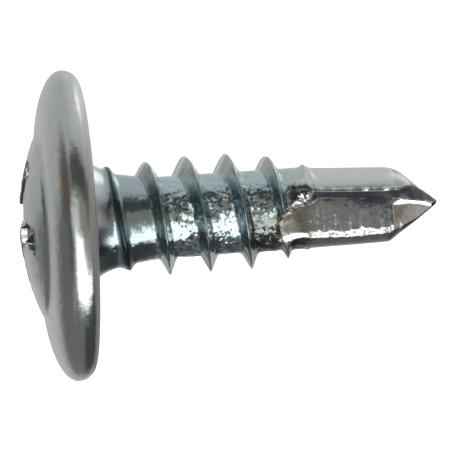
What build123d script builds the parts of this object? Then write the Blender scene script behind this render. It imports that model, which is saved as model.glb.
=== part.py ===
from build123d import *
import os
from math import atan2, cos, degrees, radians, sin, sqrt, tan

# Self drilling screw, No. 8 - 18 x 1/2 in, modified truss (washer) head, cross
# recess No. 2: one cold forged and thread rolled piece of zinc plated steel.
#
# The screw is drawn along its own axis. z = 0 is the bearing face under the
# head, +z runs to the drill point and -z to the top of the head. At the end it
# is laid down on the rim of its head and the two edges of the lower flute.

# ---- driving dimensions, mm and degrees ---------------------------------
pitch = 1.411                 # 18 threads per inch, right handed
shank_radius = 1.414          # thread root
crest_radius = 2.044
crest_flat = 0.06
flank_angle = 60.0            # included angle of the ridge
ridge_sink = 0.06             # ridge base below the root, for a clean union
thread_start_z = 0.24      # inside the neck, so the ridge grows out of it
thread_start_angle = -130.0
thread_full_end_z = 6.23
runout_height = 1.70          # the ridge sinks into the shank over this length
runout_angle = -20.0

head_radius = 5.377           # washer rim
head_height = 2.226           # bearing face to top of dome
rim_under_radius = 0.592      # rounding of the rim below
washer_thick = 1.501          # washer top at the foot of the dome
dome_foot_radius = 3.156
dome_radius = 7.995           # sphere of the dome
head_offset = -0.07           # the head is struck this far off the shank's axis

neck = [(1.414, 2.33), (1.50, 1.73), (1.60, 1.13), (1.90, 0.43), (2.25, 0.06), (2.38, 0.0)]

recess_depth = 2.12           # to the end of the wings, from the top of the dome
recess_mouth = 5.00           # across opposite wings at the top
recess_foot = 2.30            # across opposite wings at their end
wing_mouth = 0.92             # wing width at the top
wing_foot = 0.62              # wing width at the end
core_mouth_radius = 0.98      # round core between the wings, at the top
core_foot_radius = 0.74
recess_point_angle = 138.0    # cone at the bottom
recess_turn = 18.0            # turn of the cross about the axis
recess_rise = 0.45            # the cutter stands this far above the dome

tip_z = 12.22                 # length under head
shoulder_z = 10.51            # the drill's point begins here
drill_start_z = 7.53
drill_start_radius = 1.42
drill_end_radius = 1.31
chisel_radius = 0.10          # half length of the chisel edge at the tip

# flute section: x across the flute, y out of it
wall_foot = (0.29, 0.70)      # foot of the cutting wall, which stands radially
wall_angle = 22.5             # of the cutting wall, from the y axis
floor_end = (-0.80, 1.01)     # the floor rises from the foot to this crease
heel = (-1.11, 0.87)          # and bevels off to the land here
flute_start_z = 6.95
flute_full_z = 8.05
web_start = (10.79, 0.85)     # z and half thickness where the point is thinned
web_tip_half = 0.09

rest_roll = -8.066            # turn of the screw about its axis when it lies
rest_dip = 21.086             # dip of its axis then, tip end down

# ---- thread on a plain rod ----------------------------------------------
ridge_height = crest_radius - shank_radius
ridge_half_base = crest_flat / 2 + (ridge_height + ridge_sink) * tan(radians(flank_angle / 2))


def ridge_plane(path):
    start = path @ 0
    return Plane(origin=start, x_dir=(start.X, start.Y, 0), z_dir=path % 0)


helix_full = Edge.make_helix(pitch, thread_full_end_z - thread_start_z, shank_radius,
                             center=(0, 0, thread_start_z)).rotate(Axis.Z, thread_start_angle)
full_end = helix_full @ 1
helix_runout = Edge.make_helix(pitch, runout_height, shank_radius, center=(0, 0, thread_full_end_z),
                               angle=runout_angle)
helix_runout = helix_runout.rotate(Axis.Z, degrees(atan2(full_end.Y, full_end.X)))

with BuildPart() as shank:
    with Locations((0, 0, -0.5)):
        Cylinder(shank_radius, 0.5 + 9.0, align=(Align.CENTER, Align.CENTER, Align.MIN))
    for helix in (helix_full, helix_runout):
        with BuildSketch(ridge_plane(helix)) as ridge_section:
            with BuildLine():
                Polyline((-ridge_sink, -ridge_half_base), (-ridge_sink, ridge_half_base),
                         (ridge_height, crest_flat / 2), (ridge_height, -crest_flat / 2), close=True)
            make_face()
        sweep(sections=ridge_section.sketch, path=Wire([helix]), is_frenet=True)

# ---- neck and head ------------------------------------------------------
with BuildPart() as neck_cone:
    with BuildSketch(Plane.XZ):
        with BuildLine():
            Polyline((0, -1.0), (0, neck[0][1]), *neck, (neck[-1][0], -1.0), (0, -1.0))
        make_face()
    revolve(axis=Axis.Z)

dome_foot_z = -head_height + dome_radius - sqrt(dome_radius**2 - dome_foot_radius**2)
head_axis = Axis((head_offset, 0, 0), (0, 0, 1))
head_plane = Plane(origin=(head_offset, 0, 0), x_dir=(1, 0, 0), z_dir=(0, -1, 0))
with BuildPart() as head:
    with BuildSketch(head_plane):
        with BuildLine():
            Line((0, -head_height), (0, 0))
            Line((0, 0), (head_radius - rim_under_radius, 0))
            RadiusArc((head_radius - rim_under_radius, 0), (head_radius, -rim_under_radius),
                      rim_under_radius)
            Bezier((head_radius, -rim_under_radius), (head_radius, -rim_under_radius - 0.631),
                   (dome_foot_radius + 0.659, -washer_thick), (dome_foot_radius, -washer_thick))
            Line((dome_foot_radius, -washer_thick), (dome_foot_radius, dome_foot_z))
            RadiusArc((dome_foot_radius, dome_foot_z), (0, -head_height), -dome_radius)
        make_face()
    revolve(axis=head_axis)

# ---- drill blank --------------------------------------------------------
with BuildPart() as drill:
    with BuildSketch(Plane.XZ):
        with BuildLine():
            Polyline((0, drill_start_z - 0.4), (0, tip_z), (chisel_radius, tip_z),
                     (drill_end_radius, shoulder_z), (drill_start_radius, drill_start_z),
                     (shank_radius - 0.01, drill_start_z - 0.4), (0, drill_start_z - 0.4))
        make_face()
    revolve(axis=Axis.Z)

# ---- cutters ------------------------------------------------------------
with BuildPart() as flute:
    bevel_slope = (heel[1] - floor_end[1]) / (floor_end[0] - heel[0])
    with BuildSketch(Plane.XY.offset(flute_start_z)):
        with BuildLine():
            Polyline(wall_foot, (2.2 * sin(radians(wall_angle)), 2.2 * cos(radians(wall_angle))),
                     (0.8, 3.0), (-2.2, 3.0), (-2.2, heel[1] + (2.2 + heel[0]) * bevel_slope), floor_end, close=True)
        make_face()
    extrude(amount=tip_z + 0.5 - flute_start_z)
    ramp = (1.45 - 0.3) / (flute_full_z - flute_start_z)
    with BuildSketch(Plane.YZ.offset(-3)):
        with BuildLine():
            Polyline((1.45, flute_start_z), (0.3, flute_full_z), (0.3, tip_z + 1), (4, tip_z + 1),
                     (4, flute_start_z), close=True)
        make_face()
    extrude(amount=6, mode=Mode.INTERSECT)

with BuildPart() as thinning:
    with BuildSketch(Plane.YZ.offset(-3)):
        with BuildLine():
            Polyline((web_start[1], web_start[0]), (web_tip_half, tip_z),
                     (web_tip_half - 0.53 * 0.5, tip_z + 0.5), (3, tip_z + 0.5), (3, web_start[0]),
                     close=True)
        make_face()
    extrude(amount=6)
    with BuildSketch(Plane.XZ.offset(-4)):
        with BuildLine():
            Polyline((-3, web_start[0]), (wall_foot[0] - 0.03, web_start[0]), (0.05, tip_z),
                     (0.04, tip_z + 1), (-3, tip_z + 1), close=True)
        make_face()
    extrude(amount=8, mode=Mode.INTERSECT)

top_z = -head_height
rise_mouth = recess_mouth + (recess_mouth - recess_foot) / recess_depth * recess_rise
rise_wing = wing_mouth + (wing_mouth - wing_foot) / recess_depth * recess_rise
rise_core = core_mouth_radius + (core_mouth_radius - core_foot_radius) / recess_depth * recess_rise
cone_depth = core_foot_radius / tan(radians(recess_point_angle / 2))
wing_blades = []
for turn in (recess_turn, recess_turn + 90):
    across = (cos(radians(turn)), sin(radians(turn)), 0)
    mouth_plane = Plane(origin=(head_offset, 0, top_z - recess_rise), x_dir=across, z_dir=(0, 0, 1))
    foot_plane = Plane(origin=(head_offset, 0, top_z + recess_depth), x_dir=across, z_dir=(0, 0, 1))
    with BuildPart() as blade:
        with BuildSketch(mouth_plane):
            Rectangle(rise_mouth, rise_wing)
        with BuildSketch(foot_plane):
            Rectangle(recess_foot, wing_foot)
        loft()
    wing_blades.append(blade.part)

with BuildPart() as recess_core:
    with BuildSketch(head_plane):
        with BuildLine():
            z0, z1 = top_z - recess_rise, top_z + recess_depth
            Polyline((0, z0), (rise_core, z0), (core_foot_radius, z1), (0, z1 + cone_depth), (0, z0))
        make_face()
    revolve(axis=head_axis)


# ---- the whole screw along its own axis ---------------------------------
with BuildPart() as upright:
    add(shank.part)
    add(neck_cone.part)
    add(head.part)
    add(drill.part)
    for turn in (0, 180):
        add(flute.part.rotate(Axis.Z, turn), mode=Mode.SUBTRACT)
        add(thinning.part.rotate(Axis.Z, turn), mode=Mode.SUBTRACT)
    for cutter in (*wing_blades, recess_core.part):
        add(cutter, mode=Mode.SUBTRACT)

# ---- laid down at rest: axis over +X, tip end down, lower flute on the floor
lying = Plane(origin=(0, 0, 0), x_dir=(0, 1, 0),
              z_dir=(cos(radians(rest_dip)), 0, -sin(radians(rest_dip)))).location
laid = upright.part.rotate(Axis.Z, rest_roll).moved(lying)
box = laid.bounding_box()
rest_shift = (-box.center().X, -box.center().Y, -box.min.Z)

with BuildPart() as self_drilling_screw:
    add(laid.moved(Location(rest_shift)))

self_drilling_screw.part.label = "self_drilling_screw"
os.makedirs("parts", exist_ok=True)
export_step(self_drilling_screw.part, "parts/self_drilling_screw.step")

print("shift", rest_shift, "volume mm3", self_drilling_screw.part.volume)
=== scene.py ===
import math

import bpy
import numpy as np
from mathutils import Matrix, Vector


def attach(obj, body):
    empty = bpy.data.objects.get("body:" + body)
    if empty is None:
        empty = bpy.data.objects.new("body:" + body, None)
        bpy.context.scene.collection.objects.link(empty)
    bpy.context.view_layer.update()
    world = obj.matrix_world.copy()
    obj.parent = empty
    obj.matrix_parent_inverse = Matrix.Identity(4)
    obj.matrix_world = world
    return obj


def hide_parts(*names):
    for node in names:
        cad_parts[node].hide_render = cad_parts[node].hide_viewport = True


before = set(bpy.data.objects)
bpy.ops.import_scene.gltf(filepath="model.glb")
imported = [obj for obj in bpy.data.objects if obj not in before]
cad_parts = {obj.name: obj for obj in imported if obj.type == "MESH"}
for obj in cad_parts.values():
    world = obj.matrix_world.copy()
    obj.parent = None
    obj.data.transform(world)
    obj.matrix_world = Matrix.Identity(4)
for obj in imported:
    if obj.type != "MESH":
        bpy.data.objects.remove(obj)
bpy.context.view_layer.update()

# ---------------------------------------------------------------------------
# The screw's own frame: z along its axis (0 under the head, + to the point),
# x and y across. It lies turned by ROLL about its axis, dipped by DIP, and
# shifted, exactly as the CAD solid does. All local lengths are millimetres.
# ---------------------------------------------------------------------------
ROLL, DIP = math.radians(-8.066), math.radians(21.086)
SHIFT = np.array([-4.305789, 0.069307, 4.834456])
EX = np.array([0.0, 1.0, 0.0])
EY = np.array([math.sin(DIP), 0.0, math.cos(DIP)])
EZ = np.array([math.cos(DIP), 0.0, -math.sin(DIP)])


def turn(p):
    """Local direction to the row frame."""
    p = np.asarray(p, float)
    x = p[..., 0] * math.cos(ROLL) - p[..., 1] * math.sin(ROLL)
    y = p[..., 0] * math.sin(ROLL) + p[..., 1] * math.cos(ROLL)
    return x[..., None] * EX + y[..., None] * EY + p[..., 2][..., None] * EZ


def to_row(p):
    """Local millimetres to row metres."""
    return (turn(p) + SHIFT) / 1000.0


# ---------------------------------------------------------------------------
# small helpers
# ---------------------------------------------------------------------------
def smooth(a, b, x):
    t = np.clip((x - a) / (b - a), 0, 1)
    return t * t * (3 - 2 * t)


def curve(xs, ys):
    """Monotone cubic through the points."""
    xs, ys = np.array(xs, float), np.array(ys, float)
    h, d = np.diff(xs), np.diff(ys) / np.diff(xs)
    m = np.zeros_like(xs)
    m[0], m[-1] = d[0], d[-1]
    for i in range(1, len(xs) - 1):
        if d[i - 1] * d[i] > 0:
            w1, w2 = 2 * h[i] + h[i - 1], h[i] + 2 * h[i - 1]
            m[i] = (w1 + w2) / (w1 / d[i - 1] + w2 / d[i])

    def f(x):
        x = np.asarray(x, float)
        i = np.clip(np.searchsorted(xs, x) - 1, 0, len(h) - 1)
        t = (x - xs[i]) / h[i]
        inside = ((1 + 2 * t) * (1 - t) ** 2 * ys[i] + t * (1 - t) ** 2 * h[i] * m[i]
                  + t * t * (3 - 2 * t) * ys[i + 1] + t * t * (t - 1) * h[i] * m[i + 1])
        low = ys[0] + (x - xs[0]) * m[0]
        high = ys[-1] + (x - xs[-1]) * m[-1]
        return np.where(x < xs[0], low, np.where(x > xs[-1], high, inside))

    return f


def rnd(ix, iy, iz, seed):
    h = (ix.astype(np.int64) * 374761393 + iy.astype(np.int64) * 668265263
         + iz.astype(np.int64) * 1442695041 + seed * 1013904223) & 0xFFFFFFFF
    h = ((h ^ (h >> 13)) * 1274126177) & 0xFFFFFFFF
    h = ((h ^ (h >> 16)) * 2246822519) & 0xFFFFFFFF
    return ((h ^ (h >> 15)) & 0xFFFFFF) / float(0xFFFFFF)


def noise(x, y, z, seed=0):
    """Smooth value noise, -1 to 1."""
    x, y, z = np.broadcast_arrays(np.asarray(x, float), np.asarray(y, float), np.asarray(z, float))
    ix, iy, iz = np.floor(x), np.floor(y), np.floor(z)
    fx, fy, fz = x - ix, y - iy, z - iz
    fx, fy, fz = (f * f * f * (f * (f * 6 - 15) + 10) for f in (fx, fy, fz))
    out = 0.0
    for dx in (0, 1):
        for dy in (0, 1):
            for dz in (0, 1):
                w = (fx if dx else 1 - fx) * (fy if dy else 1 - fy) * (fz if dz else 1 - fz)
                out = out + w * rnd(ix + dx, iy + dy, iz + dz, seed)
    return out * 2 - 1


def facets(x, y, z, seed=0):
    """Flat-ish facets: distance to the nearest scattered point, 0 to about 1."""
    x, y, z = np.broadcast_arrays(np.asarray(x, float), np.asarray(y, float), np.asarray(z, float))
    ix, iy, iz = np.floor(x), np.floor(y), np.floor(z)
    best = np.full(x.shape, 9.0)
    for dx in (-1, 0, 1):
        for dy in (-1, 0, 1):
            for dz in (-1, 0, 1):
                cx, cy, cz = ix + dx, iy + dy, iz + dz
                px = cx + rnd(cx, cy, cz, seed)
                py = cy + rnd(cx, cy, cz, seed + 11)
                pz = cz + rnd(cx, cy, cz, seed + 23)
                best = np.minimum(best, (px - x) ** 2 + (py - y) ** 2 + (pz - z) ** 2)
    return np.sqrt(best)


# ---------------------------------------------------------------------------
# dimensions of the screw, mm
# ---------------------------------------------------------------------------
K = 240                                   # columns round the axis
M = 28                                    # rows per thread turn
TOP = -2.226                              # top of the dome
HEAD_X = -0.07                            # the head sits this far off the axis
HEAD_TILT = math.radians(-0.39)
DOME_R, DOME_FOOT = 7.995, 3.156

root_of = curve([0.24, 0.33, 0.43, 0.53, 0.70, 0.90, 1.10, 1.50, 1.80, 2.30, 2.63, 7.50],
                [2.05, 1.99, 1.92, 1.86, 1.765, 1.68, 1.62, 1.55, 1.50, 1.435, 1.414, 1.41])
# outline of the drill, above and below the axis
above = curve([7.50, 7.85, 8.26, 8.95, 9.64, 10.16, 10.47, 10.61, 10.74, 10.88, 11.01, 11.175, 11.34, 11.50,
               11.66, 11.83, 11.99, 12.12, 12.22],
              [1.41, 1.38, 1.345, 1.305, 1.269, 1.240, 1.219, 1.198, 1.156, 1.090, 1.008, 0.870, 0.713, 0.557,
               0.418, 0.290, 0.163, 0.040, -0.030])
below = curve([7.50, 7.72, 8.42, 9.11, 9.81, 10.33, 10.45, 10.54, 10.65, 10.80, 11.015, 11.16, 11.377, 11.60,
               11.78, 11.96, 12.12, 12.22],
              [-1.411, -1.405, -1.392, -1.385, -1.373, -1.363, -1.355, -1.316, -1.248, -1.140, -0.988, -0.894, -0.755,
               -0.600, -0.466, -0.338, -0.216, -0.130])
# crest line: place along the axis and radius, against turns from the start
crest_base = curve([-0.6, 0, 0.5, 1, 1.5, 2, 2.5, 3, 3.5, 4, 4.5, 5, 5.6],
                   [0.12, 0.883, 1.496, 2.189, 2.861, 3.567, 4.270, 4.970, 5.694, 6.367, 6.972, 7.620, 8.44])
crest_r = curve([-0.6, -0.35, -0.2, 0, 0.2, 0.5, 0.75, 1, 1.5, 2, 2.5, 3, 3.5, 4, 4.25, 4.5, 4.75, 5, 5.25, 5.6],
                [1.95, 1.93, 1.90, 1.867, 1.80, 1.752, 1.84, 1.941, 1.968, 2.062, 2.015, 2.028, 1.986, 1.905, 1.83,
                 1.725, 1.58, 1.468, 1.43, 1.40])


def crest_z(t):
    return (crest_base(t) + 0.022 * np.cos(2 * np.pi * t) - 0.105 * np.exp(-((t - 0.2) / 0.13) ** 2)
            + 0.065 * np.maximum(np.sin(2 * np.pi * t), 0) * smooth(0.9, 1.1, t))


def ridge_h(t):
    """Height of the ridge over the root."""
    return np.maximum(crest_r(t) - root_of(crest_z(t)), 0.0) * smooth(-0.13, 0.0, t) * (1 - smooth(5.05, 5.4, t))


def base_head(t):
    """Half base of the ridge on the head side."""
    first = np.interp(t, [-0.1, 0.15, 0.35, 0.5, 0.7, 1.0], [0.13, 0.15, 0.18, 0.30, 0.34, 0.05])
    k = np.interp((t % 1) * 360, [0, 40, 90, 140, 180, 360], [0.48, 0.44, 0.37, 0.40, 0.48, 0.48])
    return np.maximum(k * ridge_h(t) + 0.02, first)


def base_tip(t):
    """Half base on the point side: steep along the front, broader above and below."""
    k = np.interp((t % 1) * 360, [0, 50, 90, 140, 180, 270, 360], [0.54, 0.28, 0.22, 0.25, 0.35, 0.45, 0.54])
    return np.maximum(k * ridge_h(t) + 0.03, np.interp(t, [-0.1, 0.05, 0.25, 0.4, 0.6, 1.0], [0.05, 0.06, 0.10, 0.15, 0.15, 0.06]))


# run-out of the flute: where it leaves the round, and how fast it gets deep
run_z = curve([60, 66.8, 75.3, 83.1, 86.3, 88.6, 100.5, 107.4, 119.6, 138, 146.5, 152],
              [8.0, 7.90, 7.76, 7.47, 7.12, 6.94, 6.64, 6.53, 6.49, 6.62, 6.95, 7.3])
run_len = curve([60, 70, 80, 86, 95, 108, 119, 128, 160],
                [0.16, 0.18, 0.22, 0.25, 0.28, 0.28, 0.20, 0.12, 0.12])
edge_deg = curve([7.5, 7.92, 9.13, 10.34, 10.62, 10.80, 10.95, 11.1, 11.25, 11.4, 11.5, 11.6, 11.7, 12.3],
                 [66.4, 66.6, 67.6, 68.4, 68.2, 67.4, 65.0, 56.4, 47.0, 33.0, 16.0, 4.0, 2.0, 2.0])
foot_x = curve([7.5, 8.14, 8.83, 9.50, 10.20, 10.75, 10.885, 11.21, 11.43, 11.78, 12.0, 12.3],
               [0.385, 0.360, 0.318, 0.243, 0.155, 0.105, 0.092, 0.050, 0.012, -0.063, -0.163, -0.20])
foot_y = curve([7.5, 8.14, 8.83, 9.50, 10.20, 10.75, 11.0, 11.23, 11.6, 12.0, 12.3],
               [0.90, 0.92, 0.86, 0.77, 0.73, 0.735, 0.69, 0.61, 0.44, 0.25, 0.14])
break_x = curve([6.5, 6.9, 7.55, 7.75, 8.1, 8.4, 9.1, 10.5, 11.0, 12.3],
                [-1.00, -0.94, -0.83, -0.96, -0.86, -0.82, -0.85, -0.87, -0.87, -0.87])
heel_x = curve([6.5, 6.9, 7.45, 7.75, 8.4, 9.1, 10.3, 12.3], [-1.22, -1.13, -1.01, -1.05, -1.09, -1.115, -1.15, -1.15])


facet_y = curve([10.60, 11.1, 11.25, 11.6, 12.0, 12.2],
                [0.753, 0.548, 0.485, 0.345, 0.185, 0.11])
facet_k = curve([10.6, 11.2, 11.5, 12.2], [-0.10, 0.05, 0.12, 0.12])
strip_x = curve([10.6, 10.85, 11.05, 11.22, 11.4, 11.6, 11.77, 11.95, 12.2],
                [-0.10, -0.107, -0.098, -0.087, -0.115, -0.138, -0.184, -0.230, -0.27])


def axis_x(z):
    """Sideways drift of the drill's centre."""
    return 0.5 * (above(z) + below(z)) * smooth(7.5, 8.0, z) * (z > 7.5)


def land_r(z):
    return np.where(z > 7.5, 0.5 * (above(z) - below(z)), root_of(z))


def line_r(phi, ax, ay, bx, by, cx):
    """Radius along each ray (degrees, from centre cx) to the line AB; far where the ray misses it."""
    ax, bx = ax - cx, bx - cx
    nx, ny = by - ay, -(bx - ax)
    d = nx * ax + ny * ay
    sign = np.where(d < 0, -1.0, 1.0)
    nx, ny, d = nx * sign, ny * sign, d * sign
    c, s = np.cos(np.radians(phi)), np.sin(np.radians(phi))
    k = nx * c + ny * s
    return np.where(k > 1e-4, d / np.maximum(k, 1e-4), 9.0)


def soft_min(a, b, s):
    h = np.clip(0.5 + 0.5 * (b - a) / s, 0, 1)
    return b + (a - b) * h - s * h * (1 - h)


def soft_max(a, b, s):
    return -soft_min(-a, -b, s)


def flute_r(phi, z, cx):
    """Radius of the flute's surface at phi in 0..180 (front flute), and masks of its parts."""
    land = land_r(z)
    e = edge_deg(z)
    ex, ey = cx + land * np.cos(np.radians(e)), land * np.sin(np.radians(e))
    fx, fy = foot_x(z), foot_y(z)
    hx = heel_x(z)
    ccx = axis_x(np.minimum(z, 10.4))
    hy = np.sqrt(np.maximum(np.maximum(land, 1.345) ** 2 - (hx - np.where(cx < 0, ccx, -ccx)) ** 2, 0.01))
    bx = break_x(z)
    by = hy + 0.45 * (bx - hx)
    # slight waviness of the milled surfaces, and the torn edge of the crease
    wav = (0.0045 * noise(z * 3.1 + phi * 0.043, phi * 0.085 - z * 1.3, 0, 3)
           + 0.0035 * noise(z * 8.3 - phi * 0.06, phi * 0.19 + z * 3.1, 0, 4))
    jag = smooth(7.7, 8.0, z) * (0.016 * noise(z * 6.0, phi * 0.03, 0, 41) + 0.012 * noise(z * 17.0, phi * 0.04, 0, 42))
    # cutting wall: nearly radial on the body, a broad relief at the point
    f_deg, b_deg = np.degrees(np.arctan2(fy, fx - cx)), np.degrees(np.arctan2(by, bx - cx))
    fd = np.clip(f_deg, e + 1.6, e + 85)
    ramp = land + (np.hypot(fx - cx, fy) - land) * np.clip((phi - e) / (fd - e), 0, 1)
    wall = np.where(fd - e < 12, ramp, line_r(phi, fx, fy, ex, ey, cx))
    wall = np.where(phi < e, 9.0, np.where(phi > fd, 0.0, wall))
    span = np.clip((phi - f_deg) / (b_deg - f_deg), 0, 1)
    torn = 0.034 * noise(z * 7.0, 0.7, 0, 71) + 0.026 * noise(z * 15.0, 2.9, 0, 72)
    fex = bx + (-0.87 - bx) * smooth(6.85, 7.35, z) + torn * smooth(7.75, 7.95, z)
    fey = hy + 0.45 * (fex - hx)
    floor = line_r(phi, fx, fy, fex, fey, cx) + wav + 0.035 * (1 - (2 * span - 1) ** 2) * (1 - smooth(10.15, 10.6, z))
    drop = 0.055 * smooth(10.36, 10.58, z) + 0.050 * smooth(10.60, 10.67, z)
    bevel = line_r(phi, bx, by - drop, hx, hy - drop, cx) + 1.2 * wav + jag
    bevelm = smooth(-0.012, 0.012, floor - bevel)
    cut = np.maximum(soft_min(floor, bevel, 0.030), wall)
    # thinned point: sloping facet, and a narrow bevel against the wall, painted bright as a highlight
    yc, ku = facet_y(z), facet_k(z)
    s, c = np.sin(np.radians(phi)), np.cos(np.radians(phi))
    den = s - ku * c
    facet = np.where(den > 0.05, (yc + ku * (cx + 0.08)) / np.maximum(den, 0.05), 9.0)
    facet = np.maximum(facet, 0.055)
    m = 0.47
    x0 = strip_x(z)
    y0 = yc + ku * (x0 + 0.08)
    den = s - m * c
    painted_highlight_strip = np.where(den > 0.05, (y0 - m * x0 + m * cx) / np.maximum(den, 0.05), 9.0)
    painted_highlight_strip = np.where((phi < 175) & (phi > 40), painted_highlight_strip, 0.0)
    thin = np.maximum(np.maximum(facet, painted_highlight_strip), wall)
    point = smooth(0.0, 0.01, cut - thin) * (z > 10.6)
    painted_highlight_m = point * (painted_highlight_strip > facet) * (painted_highlight_strip >= wall)
    cut = np.minimum(cut, np.where(z > 10.6, thin, 9.0))
    # painted highlight: the bevel at the start of the run-out
    painted_highlight_m = np.maximum(painted_highlight_m, bevelm * (1 - smooth(7.56, 7.66, z)))
    # the wall mask also carries the painted shade of the cutting wall
    wall_painted_shade_m = (phi > e + 0.05) * (phi < fd + np.where(z < 10.6, 1.3, -0.02)) * smooth(7.75, 8.0, z)
    heelm = bevelm * smooth(7.70, 7.80, z) * (1 - smooth(10.88, 10.98, z)) * (1 - point)
    return cut, dict(point=point * (1 - painted_highlight_m), painted_highlight_strip=painted_highlight_m * (1 - wall_painted_shade_m), wall=wall_painted_shade_m, heel=heelm)


def column_deg(z):
    """Angles of the columns at each z: even on the thread, gathered at the flute's edges on the drill."""
    z = np.atleast_1d(z)
    e = edge_deg(np.maximum(z, 7.5))
    cx = axis_x(z)
    fdeg = np.degrees(np.arctan2(foot_y(np.maximum(z, 7.5)), foot_x(np.maximum(z, 7.5)) - cx))
    fdeg = np.clip(fdeg, e + 1.6, e + 85)
    bdeg = np.degrees(np.arctan2(1.0, break_x(z) - cx))
    hdeg = np.degrees(np.arctan2(0.86, heel_x(z) - cx))
    w = smooth(6.3, 7.4, z)
    j = np.arange(K // 2)
    out = np.empty((len(z), K))
    for i in range(len(z)):
        marks = np.interp(j, [0, 40, 48, 80, 90, 120], [0, e[i], fdeg[i], bdeg[i], hdeg[i], 180])
        even = j * 1.5
        d = even + (marks - even) * w[i]
        out[i] = np.concatenate([d, d + 180])
    return out


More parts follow.
